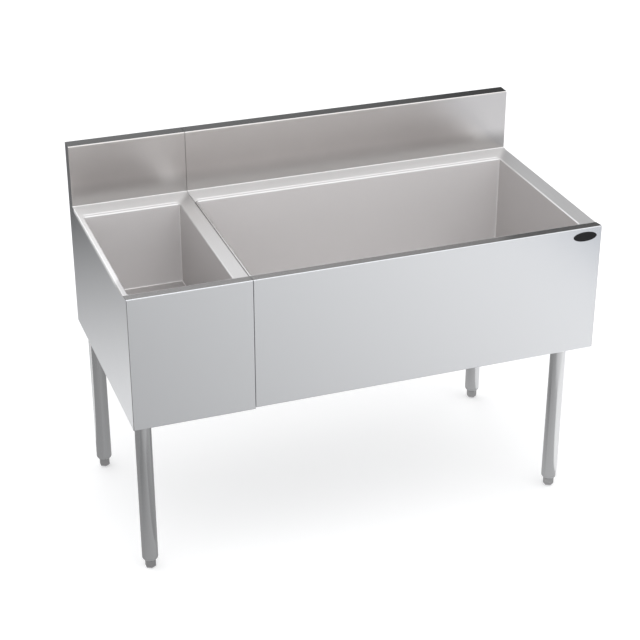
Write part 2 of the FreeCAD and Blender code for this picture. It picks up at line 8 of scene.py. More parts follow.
# %% Load the frame
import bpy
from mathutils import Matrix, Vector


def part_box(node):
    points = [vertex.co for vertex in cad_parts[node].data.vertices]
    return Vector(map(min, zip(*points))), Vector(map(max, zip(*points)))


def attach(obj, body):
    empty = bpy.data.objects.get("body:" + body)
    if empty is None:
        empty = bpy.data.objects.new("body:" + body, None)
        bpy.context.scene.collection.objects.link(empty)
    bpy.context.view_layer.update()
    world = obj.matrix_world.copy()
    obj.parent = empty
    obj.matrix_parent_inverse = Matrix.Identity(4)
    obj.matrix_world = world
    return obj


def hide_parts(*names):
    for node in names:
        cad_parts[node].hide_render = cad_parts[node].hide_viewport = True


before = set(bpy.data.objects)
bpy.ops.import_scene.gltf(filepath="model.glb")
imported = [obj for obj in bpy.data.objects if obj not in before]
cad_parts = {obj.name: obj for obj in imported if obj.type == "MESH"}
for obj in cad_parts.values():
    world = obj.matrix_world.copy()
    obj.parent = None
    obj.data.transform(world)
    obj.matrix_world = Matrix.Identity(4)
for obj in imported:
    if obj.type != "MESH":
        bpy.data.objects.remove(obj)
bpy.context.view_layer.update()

# %% [markdown]
# All sizes are metres. Most of them are read from the CAD nodes' boxes, so that a piece lands where its
# node is. The boxes can't tell a sheet's gauge or a bend's radius, so those few are written here.

# %% Places and sizes that several pieces share
import math

import bmesh
import bpy
from mathutils import Vector

MODULES = ("well", "bin")
LEGS = ("front_left", "front_right", "rear_left", "rear_right")
GAUGE = 0.0012
BEND = 0.003
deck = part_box("bin_rim")[1].z
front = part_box("bin_apron")[0].y
print("deck height", round(deck, 4), "front face at", round(front, 4))

# %% [markdown]
# ## Helpers for modelling by hand
# Blender's operators act on whatever is selected, and the CAD nodes are selected after loading.
# So each piece starts from an empty selection. Faces and edges are then picked by where their middle is,
# which does what a click would do in the window.

# %% Selecting
NEAR = 0.00005


def start_fresh():
    """Leaves edit mode and deselects everything."""
    if bpy.context.object and bpy.context.object.mode != "OBJECT":
        bpy.ops.object.mode_set(mode="OBJECT")
    bpy.ops.object.select_all(action="DESELECT")


def pick(*pieces):
    """Selects whole pieces and makes the last one active."""
    start_fresh()
    for piece in pieces:
        piece.select_set(True)
        bpy.context.view_layer.objects.active = piece


def open_new(name):
    """Names the primitive that was just added and opens it for editing."""
    bpy.ops.object.transform_apply(location=True, rotation=True, scale=True)
    piece = bpy.context.object
    piece.name = name
    piece.data.name = name
    bpy.ops.object.mode_set(mode="EDIT")
    return piece


def middle(part):
    """The middle of a vertex, an edge or a face."""
    if isinstance(part, bmesh.types.BMVert):
        return part.co.copy()
    if isinstance(part, bmesh.types.BMEdge):
        return (part.verts[0].co + part.verts[1].co) / 2
    return part.calc_center_median()


def at(x=None, y=None, z=None):
    """A test that holds where a part's middle has the given coordinates."""
    wanted = [(axis, value) for axis, value in enumerate((x, y, z)) if value is not None]
    return lambda part: all(abs(middle(part)[axis] - value) < NEAR for axis, value in wanted)


def choose(piece, kind, test):
    """Selects the vertices, edges or faces that pass a test, and nothing else."""
    bpy.ops.mesh.select_mode(type=kind)
    bpy.ops.mesh.select_all(action="DESELECT")
    mesh = bmesh.from_edit_mesh(piece.data)
    parts = {"VERT": mesh.verts, "EDGE": mesh.edges, "FACE": mesh.faces}[kind]
    chosen = [part for part in parts if test(part)]
    for part in chosen:
        part.select_set(True)
    bmesh.update_edit_mesh(piece.data)
    if not chosen:
        raise RuntimeError(f"nothing to select on {piece.name}")


print("parts are picked to within", NEAR, "m of a place")

# %% Shaping
ROUND = 0.5
UPRIGHT = (math.pi / 2, 0, 0)
ORIGIN = (0, 0, 0)


def extrude(x=0.0, y=0.0, z=0.0):
    bpy.ops.mesh.extrude_region_move(TRANSFORM_OT_translate={"value": (x, y, z)})


def bevel(radius, segments=6, affect="EDGES"):
    bpy.ops.mesh.bevel(offset=radius, segments=segments, profile=ROUND, affect=affect)


def modify(piece, kind, **settings):
    """Adds a modifier with its settings and applies it."""
    modifier = piece.modifiers.new(kind.lower(), kind)
    for key, value in settings.items():
        setattr(modifier, key, value)
    bpy.ops.object.modifier_apply(modifier=modifier.name)


def thicken(piece, gauge):
    """Gives a skin its gauge, on the side that its faces look away from."""
    bpy.ops.object.mode_set(mode="OBJECT")
    modify(piece, "SOLIDIFY", thickness=gauge, offset=-1.0, use_even_offset=True)


def facing_front(name, low, high):
    """An upright plane that looks to the front, opened for editing."""
    start_fresh()
    bpy.ops.mesh.primitive_plane_add(size=1, rotation=UPRIGHT)
    piece = open_new(name)
    bpy.ops.transform.resize(value=(high.x - low.x, 1, high.z - low.z), center_override=ORIGIN)
    bpy.ops.transform.translate(value=(low + high) / 2)
    return piece


print("shaping helpers ready")

# %% [markdown]
# Shading by angle keeps the bends smooth and the cut edges crisp. A large flat face next to a narrow bend
# would take a gradient from the bend's normals, so a Weighted Normal modifier lets the flat face decide.

# %% Handing a finished piece over
SMOOTH_ANGLE = math.radians(32)


def hand_over(piece, body, slot, *nodes):
    """Smooths a finished piece, attaches it to the body that carries it and hides the CAD nodes it stands
    for.
    """
    pick(piece)
    bpy.ops.object.shade_smooth_by_angle(angle=SMOOTH_ANGLE)
    modify(piece, "WEIGHTED_NORMAL", keep_sharp=True)
    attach(piece, body)
    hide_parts(*nodes)
    print(piece.name, len(piece.data.polygons), "faces")
    return piece


# %% [markdown]
# ## Front aprons
# Each apron is one bent sheet: the front face, a sloped rim band above it that sheds drips into the bin,
# and a short hem below. By hand one would draw the face, pull the band and the hem out of its edges,
# round the two bends and give the skin its gauge, so that is what happens here. At last the upright
# edges at both ends are broken, as a file would do. They show as a fine line beside the side panels and
# at the seam, because the broken edges carry painted shade.

# %% Front aprons
BAND_RISE = 0.0036
HEM = 0.010
HEM_BEND = 0.002
END_BREAK = 0.001
aprons = []
for module in MODULES:
    low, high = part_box(f"{module}_apron")
    band_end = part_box(f"{module}_rim")[0].y
    top = deck + BAND_RISE
    apron = facing_front(f"{module}_apron_sheet", low, Vector((high.x, low.y, top)))
    choose(apron, "EDGE", at(z=top))
    extrude(y=band_end - front, z=-BAND_RISE)
    choose(apron, "EDGE", at(z=low.z))
    extrude(y=HEM)
    choose(apron, "EDGE", at(y=front, z=top))
    bevel(BEND, segments=8)
    choose(apron, "EDGE", at(y=front, z=low.z))
    bevel(HEM_BEND)
    thicken(apron, GAUGE)
    bpy.ops.object.mode_set(mode="EDIT")
    for end in (low.x, high.x):
        choose(apron, "EDGE", at(x=end, y=front))
        bevel(END_BREAK, segments=4)
    aprons.append(hand_over(apron, "unit", "satin_steel", f"{module}_apron"))

# %% [markdown]
# ## Rims
# The rim is the top sheet round the opening. Its lips turn down into the tub and its ends turn down over
# the side panels. It grows out of the opening: a plane of that size gets round corners and is pulled down
# to make the lips, then the upper edge is drawn out and each of its sides is pressed flat against the
# rim's outline. Along the back of the opening the deck drops by a small step, which shows as a second
# line beside the lip.

# %% The opening, and tests for the parts of a rim
LIP = 0.012
CORNER = 0.004
FLAT_OR_UPRIGHT = 0.5


def opening_of(module):
    """The opening's lowest and highest corners, from the tub's box."""
    low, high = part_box(f"{module}_liner")
    inset = Vector((GAUGE, GAUGE, GAUGE))
    return low + inset, Vector((high.x - GAUGE, high.y - GAUGE, high.z))


def on_side(low, high, axis, sign):
    """A test for the drawn-out edge's vertices that belong to one side of the opening."""
    centre = (low[axis] + high[axis]) / 2
    straight = (high[axis] - low[axis]) / 2 - CORNER
    half_way = straight + CORNER * math.sin(math.pi / 4) - NEAR

    def test(vertex):
        drawn = vertex.is_boundary and abs(vertex.co.z - deck) < NEAR
        return drawn and sign * (vertex.co[axis] - centre) > half_way
    return test


def on_step(low, high, step_y):
    """A test for the deck's vertices that the step behind the opening lowers."""
    def test(vertex):
        on_deck = abs(vertex.co.z - deck) < NEAR
        across = low.x + NEAR < vertex.co.x < high.x - NEAR
        return on_deck and across and high.y - NEAR < vertex.co.y < step_y
    return test


def on_lip(high):
    """A test for the upper edge of the lips, where a flat face meets an upright one."""
    def test(edge):
        upper = middle(edge).z > deck - LIP / 2 and middle(edge).y < high.y + NEAR
        slopes = sorted(abs(face.normal.z) for face in edge.link_faces)
        return upper and len(slopes) == 2 and slopes[0] < FLAT_OR_UPRIGHT < slopes[1]
    return test


for module in MODULES:
    print(module, "opening:", [round(v, 4) for corner in opening_of(module) for v in corner])

# %% Rims
LIP_BEND = 0.003
FLANGE = 0.010
FLANGE_BEND = 0.0025
STEP = 0.0009
STEP_WIDTH = 0.0125
STEP_SLANT = 0.00045
rims = []
for module in MODULES:
    low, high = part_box(f"{module}_rim")
    open_low, open_high = opening_of(module)
    span = open_high - open_low
    centre = (open_low + open_high) / 2
    start_fresh()
    bpy.ops.mesh.primitive_plane_add(size=1)
    rim = open_new(f"{module}_rim_sheet")
    bpy.ops.transform.resize(value=(span.x, span.y, 1), center_override=ORIGIN)
    bpy.ops.transform.translate(value=(centre.x, centre.y, deck))
    bevel(CORNER, segments=8, affect="VERTICES")
    bpy.ops.mesh.select_all(action="SELECT")
    bpy.ops.mesh.delete(type="ONLY_FACE")
    choose(rim, "EDGE", at(z=deck))
    extrude(z=-LIP)
    bpy.ops.mesh.select_all(action="SELECT")
    bpy.ops.mesh.normals_make_consistent(inside=True)
    choose(rim, "EDGE", at(z=deck))
    extrude()
    for axis, sign, edge in ((0, -1, low), (0, 1, high), (1, -1, low), (1, 1, high)):
        choose(rim, "VERT", on_side(open_low, open_high, axis, sign))
        press = (0, 1, 1) if axis == 0 else (1, 0, 1)
        bpy.ops.transform.resize(value=press, center_override=edge)
    step_y = open_high.y + STEP_WIDTH
    bpy.ops.mesh.select_all(action="SELECT")
    bpy.ops.mesh.bisect(plane_co=(0, step_y, 0), plane_no=(0, 1, 0))
    choose(rim, "EDGE", lambda edge: at(y=step_y)(edge) and open_low.x < middle(edge).x < open_high.x)
    bevel(STEP_SLANT, segments=1)
    choose(rim, "VERT", on_step(open_low, open_high, step_y))
    bpy.ops.transform.translate(value=(0, 0, -STEP))
    choose(rim, "EDGE", on_lip(open_high))
    bevel(LIP_BEND)
    for end in (low.x, high.x):
        choose(rim, "EDGE", at(x=end))
        extrude(z=-FLANGE)
        choose(rim, "EDGE", at(x=end, z=deck))
        bevel(FLANGE_BEND)
    thicken(rim, GAUGE)
    rims.append(hand_over(rim, "unit", "satin_steel", f"{module}_rim"))

# %% [markdown]
# ## Tubs
# Each tub is a welded liner with coved corners, open at the top. A block without its lid gives the skin,
# and its faces are turned to look inwards, so that the gauge grows outwards. A round cutter makes the
# drain hole.

# %% Tubs
FLOOR_BEND = 0.0035
SHANK = 0.019
SHANK_PLAY = 0.0005
CUTTER_SIDES = 64
CUTTER_DEPTH = GAUGE * 6
tubs = []
for module in MODULES:
    low, high = opening_of(module)
    start_fresh()
    bpy.ops.mesh.primitive_cube_add(size=1)
    tub = open_new(f"{module}_tub")
    bpy.ops.transform.resize(value=high - low, center_override=ORIGIN)
    bpy.ops.transform.translate(value=(low + high) / 2)
    choose(tub, "FACE", at(z=high.z))
    bpy.ops.mesh.delete(type="FACE")
    choose(tub, "EDGE", at(z=(low.z + high.z) / 2))
    bevel(CORNER, segments=8)
    choose(tub, "EDGE", at(z=low.z))
    bevel(FLOOR_BEND)
    bpy.ops.mesh.select_all(action="SELECT")
    bpy.ops.mesh.flip_normals()
    thicken(tub, GAUGE)
    drain_low, drain_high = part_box(f"{module}_drain")
    centre = (drain_low + drain_high) / 2
    start_fresh()
    bpy.ops.mesh.primitive_cylinder_add(vertices=CUTTER_SIDES, radius=SHANK + SHANK_PLAY,
                                        depth=CUTTER_DEPTH, location=(centre.x, centre.y, low.z))
    cutter = bpy.context.object
    pick(tub)
    modify(tub, "BOOLEAN", object=cutter, operation="DIFFERENCE", solver="EXACT")
    bpy.data.objects.remove(cutter)
    tubs.append(hand_over(tub, "unit", "tub_steel", f"{module}_liner"))

# %% [markdown]
# ## Backsplashes
# A backsplash is one sheet too: a foot on the deck, a cove, the tall face, the top and a flange down the
# back. It starts as the face, and the other parts are pulled from its upper and lower edges in turn.

# %% Backsplashes
SPLASH_DEPTH = 0.0396
SPLASH_FLANGE = 0.040
COVE = 0.0025
splashes = []
for module in MODULES:
    low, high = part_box(f"{module}_backsplash")
    face = high.y - SPLASH_DEPTH
    splash = facing_front(f"{module}_backsplash_sheet", Vector((low.x, face, deck)),
                          Vector((high.x, face, high.z)))
    choose(splash, "EDGE", at(z=high.z))
    extrude(y=SPLASH_DEPTH)
    extrude(z=-SPLASH_FLANGE)
    choose(splash, "EDGE", at(z=deck))
    extrude(y=low.y - face)
    choose(splash, "EDGE", lambda edge: at(z=high.z, y=face)(edge) or at(z=high.z, y=high.y)(edge))
    bevel(BEND, segments=8)
    choose(splash, "EDGE", at(z=deck, y=face))
    bevel(COVE)
    thicken(splash, GAUGE)
    splashes.append(hand_over(splash, "unit", "satin_steel", f"{module}_backsplash"))

# %% [markdown]
# ## Legs and their shoulders
# Tubes and other turned pieces are drawn out ring by ring, as on a potter's wheel: a circle is extruded
# and resized along the section, and its first and last rings are bridged. A small step at each corner of
# the section gives the edges the soft break that a real turned edge has. One leg is turned, and its
# copies go to the other three places.

# %% Turning and copying
AROUND = 72


def turn(name, centre, section):
    """Draws a ring along a closed section of (radius, height) points and joins its ends."""
    start_fresh()
    radius, height = section[0]
    bpy.ops.mesh.primitive_circle_add(vertices=AROUND, radius=radius)
    piece = open_new(name)
    bpy.ops.transform.translate(value=(centre.x, centre.y, height))
    for next_radius, next_height in section[1:]:
        extrude(z=next_height - height)
        share = next_radius / radius
        bpy.ops.transform.resize(value=(share, share, 1), center_override=(centre.x, centre.y, 0))
        radius, height = next_radius, next_height
    choose(piece, "EDGE", lambda edge: edge.is_boundary)
    bpy.ops.mesh.bridge_edge_loops()
    bpy.ops.mesh.select_all(action="SELECT")
    bpy.ops.mesh.normals_make_consistent(inside=False)
    return piece


def spread(piece, kind):
    """Copies the piece at the first leg to the other legs. Each copy has its own mesh, which is moved."""
    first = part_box(f"{kind}_{LEGS[0]}")[0]
    family = {LEGS[0]: piece}
    for place in LEGS[1:]:
        pick(piece)
        bpy.ops.object.duplicate()
        twin = bpy.context.object
        twin.name = piece.name.replace(LEGS[0], place)
        twin.data.name = twin.name
        bpy.ops.object.mode_set(mode="EDIT")
        bpy.ops.mesh.select_all(action="SELECT")
        bpy.ops.transform.translate(value=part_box(f"{kind}_{place}")[0] - first)
        family[place] = twin
    return family


print("turned pieces have", AROUND, "sides")

# %% Leg tubes
LEG_WALL = 0.0015
BREAK = 0.0004
low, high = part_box(f"leg_{LEGS[0]}")
outer = (high.x - low.x) / 2
bore = outer - LEG_WALL
tube = turn(f"leg_tube_{LEGS[0]}", (low + high) / 2, [
    (bore, low.z), (outer - BREAK, low.z), (outer, low.z + BREAK),
    (outer, high.z - BREAK), (outer - BREAK, high.z), (bore, high.z)])
tubes = [hand_over(twin, "unit", "leg_steel", f"leg_{place}")
         for place, twin in spread(tube, "leg").items()]

# %% [markdown]
# The insert closes the tube's end. Below the tube it tapers like the nose of a bullet to the screw foot,
# so its section has a few more points there, on a quarter of an ellipse.

# %% Tapered shoulders
SHOULDER = 0.008
SHOULDER_END = 0.0145
PLUG_PLAY = 0.0001
STUD = 0.00795
STUD_FIT = 0.00005
TAPER_STEPS = 7
low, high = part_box(f"insert_{LEGS[0]}")
outer = (high.x - low.x) / 2
bore = STUD + STUD_FIT
plug = outer - LEG_WALL - PLUG_PLAY
tube_end = low.z + SHOULDER
taper = []
for step in range(TAPER_STEPS + 1):
    turn_angle = math.pi / 2 * step / TAPER_STEPS
    taper.append((SHOULDER_END + (outer - SHOULDER_END) * math.sin(turn_angle),
                  tube_end - (SHOULDER - BREAK) * math.cos(turn_angle)))
shoulder = turn(f"shoulder_{LEGS[0]}", (low + high) / 2, [
    (bore, low.z), (SHOULDER_END - BREAK, low.z), *taper,
    (plug, tube_end), (plug, high.z), (bore, high.z)])
shoulders = [hand_over(twin, "unit", "leg_steel", f"insert_{place}")
             for place, twin in spread(shoulder, "insert").items()]

# %% [markdown]
# ## Screw feet
# A foot is a hexagon bar with a bevelled end and a stud that screws into the leg. The hexagon starts as a
# cylinder of six sides. The stud is turned, and the two are joined into one piece.

# %% Screw feet
FOOT_HEIGHT = 0.023
FOOT_BEVEL = 0.0035
HEX_SIDES = 6
HEX_EDGE = 0.0006
STUD_POINT = 0.0015
STUD_CORE = STUD * 0.2
low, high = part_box(f"foot_{LEGS[0]}")
centre = (low + high) / 2
corner = (high.y - low.y) / 2
start_fresh()
bpy.ops.mesh.primitive_cylinder_add(vertices=HEX_SIDES, radius=corner, depth=FOOT_HEIGHT,
                                    location=(centre.x, centre.y, FOOT_HEIGHT / 2))
foot = open_new(f"screw_foot_{LEGS[0]}")
choose(foot, "EDGE", at(z=0))
bevel(FOOT_BEVEL, segments=3)
choose(foot, "EDGE", at(z=FOOT_HEIGHT))
bevel(HEX_EDGE, segments=2)
stud_foot = FOOT_HEIGHT - HEX_EDGE
stud = turn("stud", centre, [
    (STUD_CORE, stud_foot), (STUD, stud_foot), (STUD, high.z - STUD_POINT),
    (STUD - STUD_POINT, high.z), (STUD_CORE, high.z)])
pick(stud, foot)
bpy.ops.object.join()
feet = [hand_over(twin, f"foot_{place}", "foot_steel", f"foot_{place}")
        for place, twin in spread(foot, "foot").items()]

# %% [markdown]
# ## The oval plate
# A small blank oval sits at the upper right of the front. It is a flattened cylinder with a raised
# border: the front face is inset and pushed back a little, and the outer edge is rounded.

# %% The oval plate
BORDER = 0.0014
RECESS = 0.00025
PLATE_EDGE = 0.0003
low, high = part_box("badge_plate")


def on_plate_edge(edge):
    """The outer edge of the plate's front, where the border meets the rim of the cylinder."""
    in_front = all(abs(vertex.co.y - low.y) < NEAR for vertex in edge.verts)
    beside_rim = any(abs(face.normal.y) < FLAT_OR_UPRIGHT for face in edge.link_faces)
    return in_front and beside_rim and len(edge.link_faces) == 2


start_fresh()
bpy.ops.mesh.primitive_cylinder_add(vertices=AROUND, radius=0.5, depth=1, rotation=UPRIGHT)
plate = open_new("oval_plate")
bpy.ops.transform.resize(value=high - low, center_override=ORIGIN)
bpy.ops.transform.translate(value=(low + high) / 2)
choose(plate, "FACE", at(y=low.y))
bpy.ops.mesh.inset(thickness=BORDER)
bpy.ops.transform.translate(value=(0, RECESS, 0))
choose(plate, "EDGE", on_plate_edge)
bevel(PLATE_EDGE, segments=3)
hand_over(plate, "unit", "badge_black", "badge_plate")

# %% [markdown]
# ## Writing shader sums as plain expressions
# A material's numbers flow through Math nodes. Wrapping a socket in a small class lets the sums be
# written as Python expressions. A second class makes every other node and holds the few that all
# finishes share.

# %% Shader helpers
class Signal:
    """A value in a material that sums and products can be written with."""

    def __init__(self, finish, socket):
        self.finish = finish
        self.socket = socket

    def math(self, operation, first, second):
        return self.finish.node("ShaderNodeMath", {"operation": operation}, {0: first, 1: second})

    def __add__(self, other):
        return self.math("ADD", self, other)

    def __radd__(self, other):
        return self.math("ADD", other, self)

    def __sub__(self, other):
        return self.math("SUBTRACT", self, other)

    def __rsub__(self, other):
        return self.math("SUBTRACT", other, self)

    def __mul__(self, other):
        return self.math("MULTIPLY", self, other)

    def __rmul__(self, other):
        return self.math("MULTIPLY", other, self)


class Finish:
    """The nodes of a material or of the world, and the methods that add to them."""

    def __init__(self, tree):
        self.tree = tree
        self.tree.nodes.clear()

    def node(self, kind, settings=None, inputs=None, output=0):
        """Adds a node, sets it up, fills or links its sockets and gives one of its outputs."""
        new = self.tree.nodes.new(kind)
        for key, value in (settings or {}).items():
            setattr(new, key, value)
        for key, value in (inputs or {}).items():
            if isinstance(value, Signal):
                self.tree.links.new(value.socket, new.inputs[key])
            else:
                new.inputs[key].default_value = value
        return Signal(self, new.outputs[output]) if new.outputs else None

    def place(self):
        """The point on the piece, in the piece's own coordinates."""
        return self.node("ShaderNodeTexCoord", output="Object")

    def along(self, axis, vector):
        return self.node("ShaderNodeSeparateXYZ", inputs={"Vector": vector}, output=axis)

    def blend(self, factor, first, second):
        """Mixes two colours by a factor. Inputs 6 and 7 and output 2 are the Mix node's colours."""
        sockets = {0: factor, 6: first, 7: second}
        return self.node("ShaderNodeMix", {"data_type": "RGBA"}, sockets, output=2)

    def climb(self, value, start, end, first=0.0, last=1.0):
        """Goes softly from one level to another as a value goes from start to end."""
        return self.node("ShaderNodeMapRange", {"interpolation_type": "SMOOTHSTEP"}, {
            "Value": value, "From Min": start, "From Max": end, "To Min": first, "To Max": last})

    def noise(self, place, scale, detail, roughness=0.5):
        return self.node("ShaderNodeTexNoise", inputs={
            "Vector": place, "Scale": scale, "Detail": detail, "Roughness": roughness})

    def relief(self, height, strength, depth):
        return self.node("ShaderNodeBump", inputs={
            "Strength": strength, "Distance": depth, "Height": height})

    def surface(self, shader):
        self.node("ShaderNodeOutputMaterial", inputs={"Surface": shader})


def new_finish(name):
    material = bpy.data.materials.new(name)
    material.use_nodes = True
    return material, Finish(material.node_tree)


def shade(tone):
    """A tone as an opaque colour."""
    return (*tone, 1.0)


print("shader helpers ready")

# %% [markdown]
# ## Satin stainless steel
# The sheets are polished with a belt, so the grain runs one way, in hair-thin lines. Large soft clouds in
# the tone and the gloss come from handling and rolling. The grain is noise stretched along the belt's
# direction, and the clouds are noise at the scale of a hand's breadth and larger. Both change colour and
# roughness, and the grain gives a fine relief too. A picture of brushed steel could be laid on instead,
# but it would need unwrapping at every bend, and noise needs none.

# %% A recipe for steel
GRAIN_FINE = 1400.0
GRAIN_LONG = 14.0
CLOUD_SCALE = 2.6
SMEAR_SCALE = 17.0
SMEAR_SHARE = 0.35
TONE_SWING = 0.20
CLOUD_GLOSS = 0.06
SMEAR_GLOSS = 0.05
GRAIN_GLOSS = 0.08
GRAIN_DEPTH = 0.0002
FOOT_SHADE_LOW = 0.020
FOOT_SHADE_HIGH = 0.065
CORNER_BLEND = 0.3


# The mask for the painted shade on the rim strip right of an opening.
def right_of_opening(finish, place, module):
    """Is 1 on the rim's strip right of an opening and 0 on the deck behind, soft across the corner."""
    inner = opening_of(module)[1]
    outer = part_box(f"{module}_rim")[1]
    across = (finish.along("X", place) - inner.x) * (1 / (outer.x - inner.x))
    behind = (finish.along("Y", place) - inner.y) * (1 / (outer.y - inner.y))
    return finish.climb(across - behind, -CORNER_BLEND, CORNER_BLEND)


def steel(name, tone, gloss, grain_along, cloud=0.05, grain=0.05, bump=0.04, metal=1.0,
          foot_tone=None, strip=None):
    """A brushed metal with clouds and a grain along one axis. Its foot or a strip may carry painted shade.
    """
    material, finish = new_finish(name)
    place = finish.place()
    stretch = [GRAIN_LONG if axis == grain_along else GRAIN_FINE for axis in "XYZ"]
    stretched = finish.node("ShaderNodeMapping", inputs={"Vector": place, "Scale": stretch})
    lines = finish.noise(stretched, scale=1.0, detail=3.0, roughness=0.6)
    clouds = finish.noise(place, CLOUD_SCALE, detail=3.0)
    smears = finish.noise(place, SMEAR_SCALE, detail=4.0, roughness=0.55)
    centre = 0.5 - (cloud * (1 + SMEAR_SHARE) + grain) / 2
    mottle = cloud * clouds + cloud * SMEAR_SHARE * smears + grain * lines + centre
    dark = shade([value * (1 - TONE_SWING) for value in tone])
    light = shade([min(value * (1 + TONE_SWING), 1.0) for value in tone])
    colour = finish.blend(mottle, dark, light)
    # Painted shade: the foot turns darker towards the deck.
    if foot_tone:
        above = finish.climb(finish.along("Z", place), deck + FOOT_SHADE_LOW, deck + FOOT_SHADE_HIGH)
        colour = finish.blend(above, shade(foot_tone), colour)
    # Painted shade: the strip beside an opening takes a darker tone and more metal.
    if strip:
        module, painted_strip_shade, strip_metal = strip
        beside = right_of_opening(finish, place, module)
        colour = finish.blend(beside, colour, shade(painted_strip_shade))
        metal = metal + beside * (strip_metal - metal)
    rough = gloss + (clouds - 0.5) * CLOUD_GLOSS + (smears - 0.5) * SMEAR_GLOSS
    rough = rough + (lines - 0.5) * GRAIN_GLOSS
    finish.surface(finish.node("ShaderNodeBsdfPrincipled", inputs={
        "Base Color": colour, "Metallic": metal, "Roughness": rough,
        "Normal": finish.relief(lines, bump, GRAIN_DEPTH)}))
    return material


print("steel recipe ready")

# %% [markdown]
# ## The steels of this unit
# The flat tops and the tubs keep a faint haze from the belt, so they are a little matte, not pure metal.
# The band along the front, the top of the backsplash, the sides and floors of the tubs and the rim strips
# at the seam and at the right of each opening carry painted shade: a darker tone than their sheets, for
# the shade and dark reflections they show. The band, the top of the backsplash, the tub sides and the
# strip at the seam are also ground across the other faces. The tub walls that face front and back carry
# painted light, a tone lighter than steel has. Deck and strip blend softly across the corner. The foot of
# the backsplash carries painted shade, darker towards the deck. The broken edges at the apron's ends carry
# painted shade, a dark tone.

# %% Steel finishes
apron_steel = steel("satin steel, front", (0.715, 0.725, 0.745), 0.24, "X")
side_steel = steel("satin steel, sides", (0.66, 0.67, 0.69), 0.30, "Y")
rim_look = dict(tone=(0.95, 0.935, 0.935), gloss=0.37, grain_along="X", grain=0.03, bump=0.01, metal=0.5)
# Painted shade: the strip right of each opening is darker than the deck.
well_rim_steel = steel("satin steel, well rim", **rim_look, strip=("well", (0.69, 0.683, 0.683), 0.9))
bin_rim_steel = steel("satin steel, bin rim", **rim_look, strip=("bin", (0.78, 0.775, 0.775), 0.9))
# Painted shade: the strip at the seam is darker than the rest of the rim.
painted_shade_seam_strip = steel("satin steel, strip at the seam", (0.60, 0.593, 0.593), 0.26, "Y", metal=0.9)
# Painted shade at the foot of the backsplash, darker towards the deck.
splash_steel = steel("satin steel, backsplash", (0.73, 0.705, 0.69), 0.32, "X",
                     foot_tone=(0.43, 0.415, 0.405))
# Painted light and shade: tub walls facing front and back are lighter than steel, sides and floors darker.
tub_steel = steel("satin steel, tubs", (0.98, 0.935, 0.925), 0.50, "X", metal=0.45)
painted_shade_tub_side = steel("satin steel, tub sides", (0.58, 0.56, 0.555), 0.45, "Y", metal=0.45)
painted_shade_tub_floor = steel("satin steel, tub floors", (0.50, 0.485, 0.48), 0.45, "X", metal=0.6)
mill_steel = steel("mill steel", (0.62, 0.62, 0.63), 0.42, "X", cloud=0.10, grain=0.03)
leg_steel = steel("polished tube", (0.62, 0.625, 0.635), 0.17, "Z", grain=0.03, bump=0.02)
foot_steel = steel("turned foot", (0.46, 0.46, 0.465), 0.24, "Z", cloud=0.12)
fitting_chrome = steel("bright drain metal", (0.80, 0.80, 0.81), 0.12, "Z",
                       cloud=0.04, grain=0.01, bump=0.01)
zinc_steel = steel("zinc plate", (0.60, 0.61, 0.63), 0.38, "Z", cloud=0.16, grain=0.02)
# Painted shade: the front band and the top of the backsplash are darker than their sheets.
painted_shade_band = steel("satin steel, front band", (0.30, 0.30, 0.30), 0.26, "Y")
painted_shade_splash_top = steel("satin steel, splash top", (0.05, 0.05, 0.05), 0.26, "Y")
# Painted shade: the broken ends of the aprons are painted dark.
painted_shade_apron_edge = steel("cut edge", (0.16, 0.16, 0.16), 0.40, "Z", grain=0.02)
print("steel finishes ready")

# %% [markdown]
# ## Rubber, foam and the black plate
# The gaskets are matte black rubber with a fine bloom. The foam is pale and full of small cells. The oval
# plate is black enamel with a low shine. Each takes its variation from noise at its own scale.

# %% Other finishes
SPOT_DEPTH = 0.0004


def soft_finish(name, first, second, scale, gloss, gloss_swing, bump, shine=0.5):
    """A finish that is not metal: two tones mixed by noise, with its own gloss and relief."""
    material, finish = new_finish(name)
    spots = finish.noise(finish.place(), scale, detail=4.0, roughness=0.6)
    finish.surface(finish.node("ShaderNodeBsdfPrincipled", inputs={
        "Base Color": finish.blend(spots, shade(first), shade(second)),
        "Roughness": gloss + (spots - 0.5) * gloss_swing,
        "Normal": finish.relief(spots, bump, SPOT_DEPTH), "Specular IOR Level": shine}))
    return material


gasket_rubber = soft_finish("gasket rubber", (0.012, 0.012, 0.013), (0.045, 0.044, 0.043),
                            scale=900.0, gloss=0.75, gloss_swing=0.2, bump=0.2)
rigid_foam = soft_finish("rigid foam", (0.80, 0.72, 0.50), (0.90, 0.85, 0.68),
                         scale=500.0, gloss=0.85, gloss_swing=0.1, bump=0.5)
black_enamel = soft_finish("black enamel", (0.006, 0.006, 0.007), (0.016, 0.016, 0.017),
                           scale=240.0, gloss=0.22, gloss_swing=0.08, bump=0.05, shine=0.2)
print("other finishes ready")

# %% [markdown]
# ## Dressing the pieces
# Each new piece gets the finish of its kind, and some of its faces get another one, picked by where they
# are and where they look. The CAD nodes that stay keep their shape and get a finish through their
# material slots, by how their names begin or end.

# %% Tests for the faces that look different
NEARLY_LEVEL = 0.98
FACING = 0.9
SEAM = sum(corner.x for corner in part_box("seam_gasket")) / 2
STRIP_END = Vector((opening_of("bin")[0].x, opening_of("bin")[1].y))
APRON_ENDS = (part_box("well_apron")[0].x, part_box("bin_apron")[1].x)
RIM_ENDS = [corner.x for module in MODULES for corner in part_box(f"{module}_rim")]


def on_top(face):
    return face.normal.z > NEARLY_LEVEL and face.center.z > deck + NEAR


def on_splash_foot(face):
    return face.center.z < deck + COVE / 2


def on_apron_end(face):
    return min(abs(face.center.x - end) for end in APRON_ENDS) < END_BREAK


def on_lip_face(face):
    at_end = min(abs(face.center.x - end) for end in RIM_ENDS) < FLANGE_BEND
    return face.center.z < deck - LIP_BEND and not at_end


